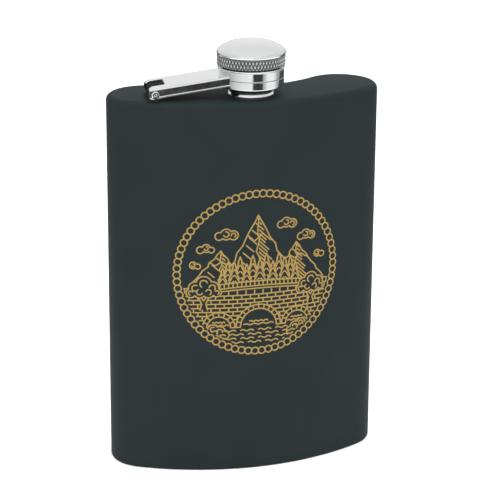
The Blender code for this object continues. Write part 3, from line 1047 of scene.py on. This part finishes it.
def draw_medallion():
    """The whole drawing: a valley with a bridge, pines, peaks and clouds."""
    art = LineArt(MEDALLION_ART)
    draw_water(art)
    draw_tree(art, -19.0, -12.5, 1.0)
    draw_tree(art, 19.2, -13.0, 0.92)
    bush = [(-13.6, -20.6, 2.0), (-15.9, -19.6, 1.7), (-11.7, -21.8, 1.4)]
    draw_puff(art, bush, [(0, 0, 240), (1, 60, 300)])
    bush = [(13.4, -20.9, 1.9), (15.6, -19.8, 1.6), (11.5, -22.0, 1.3)]
    draw_puff(art, bush, [(0, -60, 180), (1, -30, 200)])
    draw_bridge(art)
    near_pines = [(0.3, 9.6), (-4.3, 8.2), (4.9, 8.6), (-8.6, 9.4), (9.2, 9.8), (-12.6, 7.6), (13.2, 7.8)]
    for u, height in near_pines:
        draw_pine(art, u, -4.4 - abs(u) * 0.06, height)
    far_pines = [(-2.2, 10.2), (2.6, 10.6), (-6.6, 10.2), (7.1, 10.8), (-10.8, 8.8), (11.3, 9.2)]
    for u, height in far_pines:
        draw_pine(art, u, -3.6 - abs(u) * 0.06, height)
    cloud = [(-11.4, 14.4, 1.9), (-8.9, 14.0, 1.6), (-13.8, 13.8, 1.4)]
    draw_puff(art, cloud, [(0, 200, 480), (1, -60, 200)])
    cloud = [(9.6, 17.2, 1.7), (11.9, 16.7, 1.5), (7.6, 16.6, 1.2)]
    draw_puff(art, cloud, [(0, 200, 460), (1, -80, 180)])
    draw_mountain(art, (-13, -3), (-0.4, 20.6), (12.6, -3), 0.33)
    draw_mountain(art, (-24, -4), (-13.2, 8.6), (-4, -4), 0.36)
    draw_mountain(art, (4, -4), (13.4, 9.8), (24, -4), 0.36)
    cloud = [(17.0, 12.2, 1.6), (19.2, 11.6, 1.3), (15.0, 11.6, 1.2)]
    draw_puff(art, cloud, [(0, 200, 460), (1, -80, 180)])
    draw_puff(art, [(-18.2, 9.6, 1.4), (-20.2, 9.0, 1.2), (-16.4, 9.0, 1.0)], [(0, 200, 460)])
    draw_puff(art, [(21.6, 4.6, 1.2), (23.3, 4.2, 1.0)], [(0, 200, 460)])
    draw_puff(art, [(-22.6, 3.6, 1.2), (-21.0, 3.2, 0.9)], [(0, 200, 460)])
    strokes = list(art.strokes)
    for i in range(MEDALLION_BEADS):
        a = 2 * math.pi * i / MEDALLION_BEADS
        bead = circle(MEDALLION_RING * math.cos(a), MEDALLION_RING * math.sin(a), MEDALLION_BEAD, 24)
        strokes.append(bead + bead[:1])
    return strokes


def on_front(u, v, height):
    """The place of a drawing's point (u, v), in millimetres, on the body's front at this height over it."""
    angle = u * MM / FRONT_RADIUS
    radius = FRONT_RADIUS + height
    y = FRONT_CENTRE + SECTION_SHIFT - radius * math.cos(angle)
    return (radius * math.sin(angle), y, MEDALLION_HEIGHT + v * MM)


def ribbon(stroke, number):
    """A stroke as a thin raised band with rounded ends, closed all round, or joined where it is a loop."""
    looped = stroke[0] == stroke[-1]
    line = [Vector(point) for point in (stroke[:-1] if looped else stroke)]
    count = len(line)
    half = INK_WIDTH / 2
    sections = []
    for i, here in enumerate(line):
        if looped:
            before = line[i - 1]
            after = line[(i + 1) % count]
        else:
            before = line[max(i - 1, 0)]
            after = line[min(i + 1, count - 1)]
        along = (after - before).normalized()
        sections.append((here, along, half))
    if not looped:
        here, along = sections[0][:2]
        tip = (here - along * half, along, half * 0.3)
        sections[:0] = [tip, (here - along * half * 0.7, along, half * 0.75)]
        here, along = sections[-1][:2]
        tip = (here + along * half, along, half * 0.3)
        sections += [(here + along * half * 0.7, along, half * 0.75), tip]
    top = INK_HEIGHT + (number % 9) * 0.0000015
    rings = []
    for here, along, reach in sections:
        side = Vector((-along.y, along.x)) * reach
        rings.append(
            [
                on_front(here.x - side.x, here.y - side.y, -INK_SUNK),
                on_front(here.x + side.x, here.y + side.y, -INK_SUNK),
                on_front(here.x + side.x, here.y + side.y, top),
                on_front(here.x - side.x, here.y - side.y, top),
            ]
        )
    return skinned(rings, looped)


def add_medallion(ink):
    bands = [ribbon(stroke, number) for number, stroke in enumerate(draw_medallion())]
    add_piece("front_medallion_print", joined_shapes(bands), ink, "flask", sharp=50)


# ---------------------------------------------------------------- studio


def add_stage(name, shape, material):
    obj = bpy.data.objects.new(name, mesh_of(name, shape))
    obj.data.materials.append(material)
    bpy.context.scene.collection.objects.link(obj)
    return obj


def add_light(name, place, target, size, power):
    data = bpy.data.lights.new(name, "AREA")
    data.shape = "RECTANGLE"
    data.size = size[0]
    data.size_y = size[1]
    data.energy = power
    lamp = bpy.data.objects.new(name, data)
    lamp.location = place
    lamp.rotation_euler = (Vector(target) - Vector(place)).to_track_quat("-Z", "Y").to_euler()
    bpy.context.scene.collection.objects.link(lamp)
    return lamp


CAMERA_PLACE = Vector((-0.1678, -0.6061, 0.2867))
CAMERA_TURN = math.radians(14.18)
CAMERA_PITCH = math.radians(17.42)
CAMERA_LENS = 137.37
CAMERA_SHIFT = (0.0907, -0.0801)


def add_camera():
    data = bpy.data.cameras.new("camera")
    data.sensor_width = 36
    data.lens = CAMERA_LENS
    data.shift_x, data.shift_y = CAMERA_SHIFT
    data.clip_start = 0.01
    camera = bpy.data.objects.new("camera", data)
    camera.location = CAMERA_PLACE
    camera.rotation_euler = (math.pi / 2 - CAMERA_PITCH, 0, -CAMERA_TURN)
    bpy.context.scene.collection.objects.link(camera)
    bpy.context.scene.camera = camera


def ramp_node(tree, value, stops):
    """The greys of the (position, grey) stops along the value."""
    ramp = tree.nodes.new("ShaderNodeValToRGB")
    while len(ramp.color_ramp.elements) < len(stops):
        ramp.color_ramp.elements.new(0.5)
    for element, (position, grey) in zip(ramp.color_ramp.elements, stops):
        element.position = position
        element.color = (grey, grey, grey, 1)
    tree.links.new(value, ramp.inputs["Fac"])
    return ramp.outputs["Color"]


def add_world():
    """A plain studio, brighter above."""
    world = bpy.data.worlds.new("studio")
    bpy.context.scene.world = world
    world.use_nodes = True
    tree = world.node_tree
    place = tree.nodes.new("ShaderNodeTexCoord")
    parts = tree.nodes.new("ShaderNodeSeparateXYZ")
    tree.links.new(place.outputs["Generated"], parts.inputs["Vector"])
    height = spread(tree, parts.outputs["Z"], -1, 1, 0, 1)
    grey = ramp_node(tree, height, [(0.0, 0.8), (0.5, 0.86), (0.75, 0.95), (1.0, 1.0)])
    tree.links.new(grey, tree.nodes["Background"].inputs["Color"])
    tree.nodes["Background"].inputs["Strength"].default_value = 0.9


WALL_RADIUS = 0.4
WALL_FOOT = 0.0005
WALL_HEIGHT = 0.5
# Brightness of the reflection wall's low part by its bearing: degrees round from the camera, to the right.
WALL_STOPS = [
    (-180, 0.10),
    (-150, 0.12),
    (-114, 0.26),
    (-89, 0.40),
    (-69, 0.57),
    (-51, 0.77),
    (-30, 0.90),
    (0, 1.00),
    (5, 1.00),
    (8, 0.03),
    (40, 0.03),
    (43, 0.45),
    (50, 0.60),
    (58, 1.00),
    (86, 1.00),
    (103, 0.44),
    (134, 0.16),
    (180, 0.16),
]
# The same for its high part.
HIGH_STOPS = [
    (-180, 0.93),
    (-120, 0.80),
    (-60, 0.78),
    (-30, 1.0),
    (30, 1.0),
    (60, 0.78),
    (120, 0.80),
    (180, 0.93),
]


def add_reflections():
    """A wall round the set that only glossy surfaces see, brighter and darker by its bearing."""
    material = bpy.data.materials.new("reflection_wall")
    material.use_nodes = True
    tree = material.node_tree
    tree.nodes.clear()
    place = tree.nodes.new("ShaderNodeTexCoord")
    parts = tree.nodes.new("ShaderNodeSeparateXYZ")
    tree.links.new(place.outputs["Object"], parts.inputs["Vector"])
    bearing = tree.nodes.new("ShaderNodeMath")
    bearing.operation = "ARCTAN2"
    tree.links.new(parts.outputs["X"], bearing.inputs[0])
    tree.links.new(parts.outputs["Y"], bearing.inputs[1])
    turn = spread(tree, bearing.outputs["Value"], -math.pi, math.pi, 1, 0)
    glow = tree.nodes.new("ShaderNodeEmission")
    low_part = ramp_node(tree, turn, [((at + 180) / 360, grey) for at, grey in WALL_STOPS])
    high_part = ramp_node(tree, turn, [((at + 180) / 360, grey) for at, grey in HIGH_STOPS])
    mixed = mix_node(tree, spread(tree, parts.outputs["Z"], 0.11, 0.17, 0, 1))
    tree.links.new(low_part, mixed.inputs["A"])
    tree.links.new(high_part, mixed.inputs["B"])
    tree.links.new(mixed.outputs["Result"], glow.inputs["Color"])
    out = tree.nodes.new("ShaderNodeOutputMaterial")
    tree.links.new(glow.outputs["Emission"], out.inputs["Surface"])

    outline = circle(0, 0, WALL_RADIUS, 96)
    rings = [[(x, y, z) for x, y in outline] for z in (WALL_FOOT, WALL_HEIGHT)]
    points, faces = skinned(rings, False)
    wall = add_stage("reflection_wall", (points, faces[:-2]), material)
    # Turned so that its own +Y looks at the camera, with bearings growing to the camera's right.
    view = CAMERA_PLACE - NECK_AXIS
    wall.location = (NECK_AXIS.x, NECK_AXIS.y, 0)
    wall.rotation_euler.z = math.atan2(view.y, view.x) - math.pi / 2
    wall.visible_camera = False
    wall.visible_diffuse = False
    wall.visible_shadow = False
    wall.visible_transmission = False
    wall.visible_volume_scatter = False


def add_studio():
    side = 4.0
    floor = ([(-side, -side, 0), (side, -side, 0), (side, side, 0), (-side, side, 0)], [(0, 1, 2, 3)])
    add_stage("floor", floor, floor_material())
    middle = (0, 0, TOP / 2)
    key = add_light("key_softbox", (-0.55, -1.6, 1.5), middle, (1.2, 1.2), 25)
    key.visible_glossy = False
    top = add_light("top_softbox", (0.0, -0.4, 1.8), middle, (1.8, 1.8), 36)
    top.visible_glossy = False
    add_world()
    add_reflections()
    bpy.context.scene.view_settings.view_transform = "Standard"


def main():
    coat = coat_material()
    steel = polished_material()
    shade_dark_steel = shade_dark_steel_material()
    add_body(coat)
    add_neck(steel, shade_dark_steel)
    add_cap(steel, knurl_groove_shade_material(), shade_dark_steel, plastic_material(), silicone_material())
    add_hinge(steel, shade_dark_steel)
    add_arm(steel)
    add_collar(steel)
    add_medallion(ink_material())
    add_studio()
    add_camera()


main()
